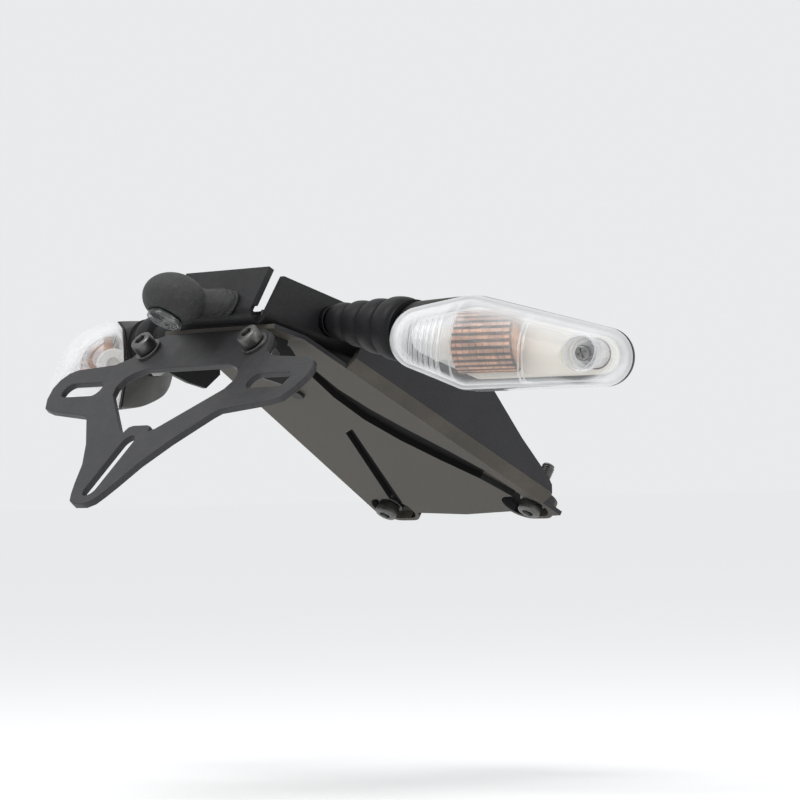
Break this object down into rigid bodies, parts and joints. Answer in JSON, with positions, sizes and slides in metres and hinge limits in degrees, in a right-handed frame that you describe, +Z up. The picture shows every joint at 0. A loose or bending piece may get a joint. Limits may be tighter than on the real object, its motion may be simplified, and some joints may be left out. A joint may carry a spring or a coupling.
{
  "type": "motorbike tail tidy",
  "caption": "Folded tail bracket with a sloping undertray, a number-plate bracket, clear indicators on rubber stalks and a small plate lamp.",
  "frame": {"origin": "centre of the four tail holes, on the upper face of the pan", "axes": "+X to the bike's right, +Y forward, +Z up"},
  "size_m": [0.393, 0.2252, 0.1128],
  "materials": {
    "pan_coat": "satin powder coat",
    "tray_coat": "satin powder coat",
    "bracket_coat": "satin powder coat",
    "hanger_coat": "satin powder coat",
    "bright_steel": "zinc plated",
    "dark_steel": "black oxide",
    "collar_metal": "turned",
    "rivet_plastic": "matte",
    "lamp_plastic": "fine texture",
    "lamp_clear": "clear",
    "board": "matte",
    "lens_clear": "clear, ribbed",
    "seal_rubber": "matte",
    "housing_plastic": "polished",
    "reflector_cream": "satin",
    "bulb_amber": "amber",
    "holder_plastic": "matte",
    "stalk_rubber": "satin",
    "stem_steel": "zinc plated"
  },
  "bodies": {
    "root": {"main_bracket": "pan_coat", "undertray": "tray_coat", "plate_hanger": "hanger_coat", "plate_bracket": "bracket_coat", "plate_screws": "bright_steel", "plate_washers": "bright_steel", "plate_nuts": "bright_steel", "tray_screws": "dark_steel", "tray_washers": "dark_steel", "tray_nuts": "bright_steel", "tail_bolts": "bright_steel", "tail_washers": "bright_steel", "tail_collars": "collar_metal", "tray_rivet": "rivet_plastic", "lamp_housing": "lamp_plastic", "lamp_lens": "lamp_clear", "lamp_board": "board", "lamp_screws": "bright_steel", "right_lens": "lens_clear", "right_gasket": "seal_rubber", "right_housing": "housing_plastic", "right_reflector": "reflector_cream", "right_bulb": "bulb_amber", "right_bulb_holder": "holder_plastic", "right_bellows": "stalk_rubber", "right_stem": "stem_steel", "right_stem_washer": "stem_steel", "right_stem_nut": "stem_steel", "right_lens_screw": "bright_steel", "left_lens": "lens_clear", "left_gasket": "seal_rubber", "left_housing": "housing_plastic", "left_reflector": "reflector_cream", "left_bulb": "bulb_amber", "left_bulb_holder": "holder_plastic", "left_bellows": "stalk_rubber", "left_stem": "stem_steel", "left_stem_washer": "stem_steel", "left_stem_nut": "stem_steel", "left_lens_screw": "bright_steel"}
  },
  "joints": []
}
